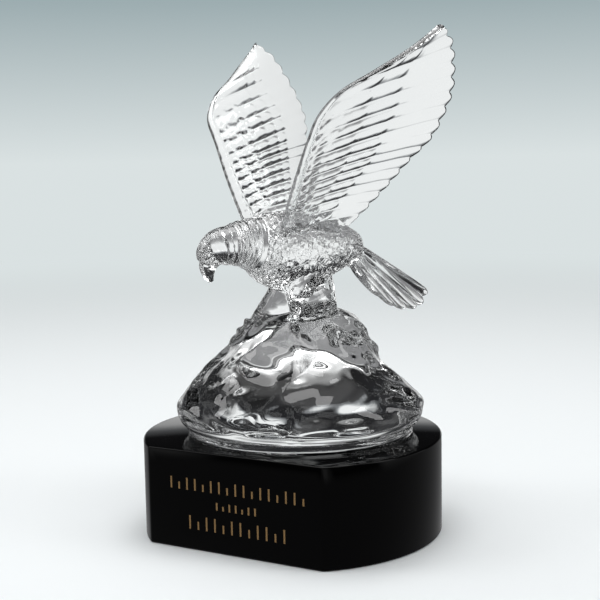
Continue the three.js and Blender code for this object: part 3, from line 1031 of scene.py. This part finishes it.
def floor_material(settings):
    """A pale floor that passes into the backdrop far away, as the camera sees it. For every other ray the floor
    is a painted glow instead:
    a painted dark ring near the award, and painted white backdrops with dark flags between them farther out."""
    material = bpy.data.materials.new("pale_floor_and_painted_glow")
    tree = Tree(material)
    away = tree.add("ShaderNodeVectorMath", {"operation": "LENGTH"}, {0: tree.place()}, "Value")
    far = tree.add(
        "ShaderNodeMapRange",
        {"interpolation_type": "SMOOTHSTEP"},
        {"Value": away, "From Min": FLOOR_FADE[0], "From Max": FLOOR_FADE[1]},
    )
    seen = tree.add("ShaderNodeLightPath", output="Is Camera Ray")
    colour = tuple(settings.floor_colour)
    near = tree.add("ShaderNodeBsdfPrincipled", {}, {"Base Color": colour, "Roughness": 0.7})
    painted_flags_and_backdrops = tree.add(
        "ShaderNodeMix", {"data_type": "RGBA"}, {"Factor": flags(tree, tree.place()), 6: FLAG, 7: WHITE}, 2
    )
    past_painted_dark_ring = tree.add(
        "ShaderNodeMapRange", {}, {"Value": away, "From Min": PAINTED_DARK_RING_EDGE[0], "From Max": PAINTED_DARK_RING_EDGE[1]}
    )
    # Painted light: for every ray but the camera's the floor glows with a painted dark ring near the award and
    # painted white backdrops and dark flags farther out
    painted_floor_for_glass = tree.add(
        "ShaderNodeMix", {"data_type": "RGBA"}, {"Factor": past_painted_dark_ring, 6: PAINTED_DARK_RING, 7: painted_flags_and_backdrops}, 2
    )
    painted_floor_glow_for_glass = tree.add("ShaderNodeEmission", {}, {"Color": painted_floor_for_glass, "Strength": 1.0})
    glow = tree.add("ShaderNodeEmission", {}, {"Color": HORIZON, "Strength": 1.0})
    painted = tree.add("ShaderNodeMixShader", {}, {0: far, 1: near, 2: glow})
    mixed = tree.add("ShaderNodeMixShader", {}, {0: seen, 1: painted_floor_glow_for_glass, 2: painted})
    tree.add("ShaderNodeOutputMaterial", {}, {"Surface": mixed})
    return material


def backdrop(world):
    """A studio: a grey backdrop for the camera, and for the award a white one with a dark room above it."""
    tree = Tree(world)
    direction = tree.add("ShaderNodeTexCoord", output="Generated")
    height = tree.add("ShaderNodeSeparateXYZ", {}, {0: direction}, "Z")
    level = height * 0.5 + 0.5
    seen = tree.add("ShaderNodeLightPath", output="Is Camera Ray")
    walls = tree.add("ShaderNodeValToRGB", {"stops": ROOM_STOPS}, {0: level})
    low = tree.add("ShaderNodeMath", {"operation": "LESS_THAN"}, {0: height, 1: FLAGS_BELOW})
    shaded = low * (1 - flags(tree, direction))
    colour = tree.add(
        "ShaderNodeMix",
        {"data_type": "RGBA"},
        {
            "Factor": seen,
            6: tree.add("ShaderNodeMix", {"data_type": "RGBA"}, {"Factor": shaded, 6: walls, 7: FLAG}, 2),
            7: tree.add("ShaderNodeValToRGB", {"stops": BACKDROP_STOPS}, {0: level}),
        },
        2,
    )
    shine = tree.add("ShaderNodeBackground", {}, {"Color": colour, "Strength": 1.0})
    tree.add("ShaderNodeOutputWorld", {}, {"Surface": shine})


def looking(place, target):
    """The matrix that puts a light or a camera at a place and turns it to a target."""
    return Matrix.Translation(place) @ (place - target).to_track_quat("Z", "Y").to_matrix().to_4x4()


def softbox(name, place, size, power):
    """A rectangular light turned toward the award."""
    light = bpy.data.lights.new(name, "AREA")
    light.shape = "RECTANGLE"
    light.size, light.size_y = size
    light.energy = power
    lamp = bpy.data.objects.new(name, light)
    lamp.matrix_world = looking(Vector(place), Vector(SOFTBOX_TARGET))
    bpy.context.scene.collection.objects.link(lamp)


class AWARD_OT_stage(bpy.types.Operator):
    """Makes the pale floor, the backdrop, the soft lights and the camera"""

    bl_idname = "award.stage"
    bl_label = "Stage"

    def execute(self, context):
        scene = context.scene
        shape = bmesh.new()
        bmesh.ops.create_circle(shape, cap_ends=True, segments=96, radius=FLOOR_RADIUS)
        bmesh.ops.translate(shape, verts=shape.verts, vec=(0, 0, PLINTH_LOW[2] - 0.1 * MM))
        mesh = bpy.data.meshes.new("floor")
        shape.to_mesh(mesh)
        shape.free()
        floor = bpy.data.objects.new("floor", mesh)
        scene.collection.objects.link(floor)
        mesh.materials.append(floor_material(scene.award))

        scene.world = bpy.data.worlds.new("studio")
        backdrop(scene.world)
        for box in SOFTBOXES:
            softbox(**box)

        lens = bpy.data.cameras.new("camera")
        lens.lens = CAMERA_LENS
        lens.sensor_width = CAMERA_SENSOR
        lens.shift_x = CAMERA_SHIFT
        camera = bpy.data.objects.new("camera", lens)
        place, target = (Vector(point) * MM for point in (CAMERA_PLACE, CAMERA_TARGET))
        camera.matrix_world = looking(place, target) @ Matrix.Rotation(math.radians(CAMERA_ROLL), 4, "Z")
        scene.collection.objects.link(camera)
        scene.camera = camera

        scene.view_settings.view_transform = "Standard"
        scene.cycles.max_bounces = 24
        scene.cycles.transmission_bounces = 24
        scene.cycles.glossy_bounces = 8
        return {"FINISHED"}


class AWARD_PT_sidebar(bpy.types.Panel):
    """The award's sizes, colours and pieces"""

    bl_idname = "AWARD_PT_sidebar"
    bl_label = "Crystal Eagle Award"
    bl_space_type = "VIEW_3D"
    bl_region_type = "UI"
    bl_category = "Award"

    def draw(self, context):
        for name in AwardSettings.__annotations__:
            self.layout.prop(context.scene.award, name)
        for operator in OPERATORS:
            self.layout.operator(operator.bl_idname)


OPERATORS = (AWARD_OT_crystal_eagle, AWARD_OT_black_plinth, AWARD_OT_gold_engraving, AWARD_OT_stage)
CLASSES = (AwardSettings, *OPERATORS, AWARD_PT_sidebar)


def register():
    for item in CLASSES:
        bpy.utils.register_class(item)
    bpy.types.Scene.award = bpy.props.PointerProperty(type=AwardSettings)


def unregister():
    del bpy.types.Scene.award
    for item in reversed(CLASSES):
        bpy.utils.unregister_class(item)


def main():
    register()
    bpy.ops.award.crystal_eagle()
    bpy.ops.award.black_plinth()
    bpy.ops.award.gold_engraving()
    bpy.ops.award.stage()


if __name__ == "__main__":
    main()
